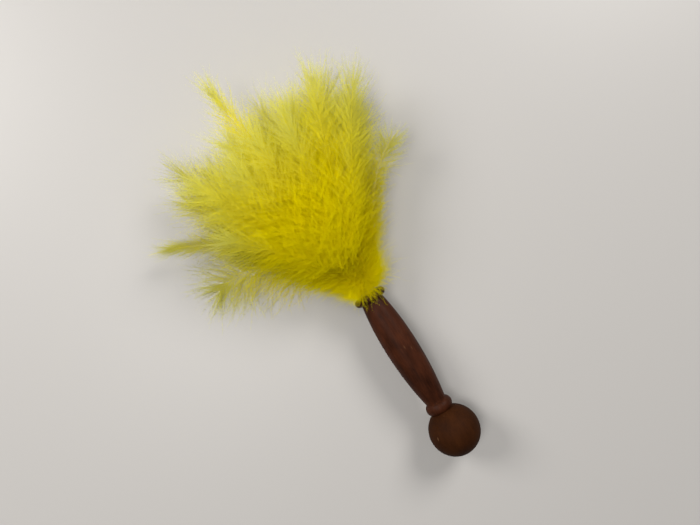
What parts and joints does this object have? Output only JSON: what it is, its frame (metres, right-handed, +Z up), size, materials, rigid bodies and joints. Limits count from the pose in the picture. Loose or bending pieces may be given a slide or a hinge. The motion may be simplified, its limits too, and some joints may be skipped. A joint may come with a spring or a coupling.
{
  "type": "feather duster",
  "caption": "Short feather duster with a fluffy yellow head of soft dyed plumes, a turned brown wooden grip with beads at its ends, and a ball knob.",
  "frame": {"origin": "middle of the overall width and length, on the surface that the duster lies on", "axes": "+Z up from that surface; +Y along the handle's axis, from the ball knob towards the tips of the plumes; the handle's axis is 15 mm above the surface"},
  "size_m": [0.1605, 0.2588, 0.0523],
  "materials": {
    "grip_wood": "satin stained and lacquered hardwood",
    "ball_wood": "dull stained hardwood",
    "glue": "set hot-melt glue, slightly translucent",
    "thread": "waxed cotton thread",
    "plume": "soft dyed down, matt with a slight sheen"
  },
  "bodies": {
    "root": {"handle": "grip_wood", "ball_knob": "ball_wood", "socket_glue": "glue", "binding_thread": "thread", "plume_01": "plume", "plume_02": "plume", "plume_03": "plume", "plume_04": "plume", "plume_05": "plume", "plume_06": "plume", "plume_07": "plume", "plume_08": "plume", "plume_09": "plume", "plume_10": "plume", "plume_11": "plume", "plume_12": "plume", "plume_13": "plume", "plume_14": "plume", "plume_15": "plume", "plume_16": "plume", "plume_17": "plume", "plume_18": "plume", "plume_19": "plume", "plume_20": "plume", "plume_21": "plume", "plume_22": "plume", "plume_23": "plume", "plume_24": "plume", "plume_25": "plume", "plume_26": "plume", "plume_27": "plume", "plume_28": "plume", "plume_29": "plume", "plume_30": "plume", "plume_31": "plume", "plume_32": "plume", "plume_33": "plume", "plume_34": "plume", "plume_35": "plume", "plume_36": "plume", "plume_37": "plume", "plume_38": "plume", "plume_39": "plume", "plume_40": "plume", "plume_41": "plume", "plume_42": "plume", "plume_43": "plume", "plume_44": "plume", "plume_45": "plume", "plume_46": "plume", "plume_47": "plume", "plume_48": "plume"}
  },
  "joints": []
}
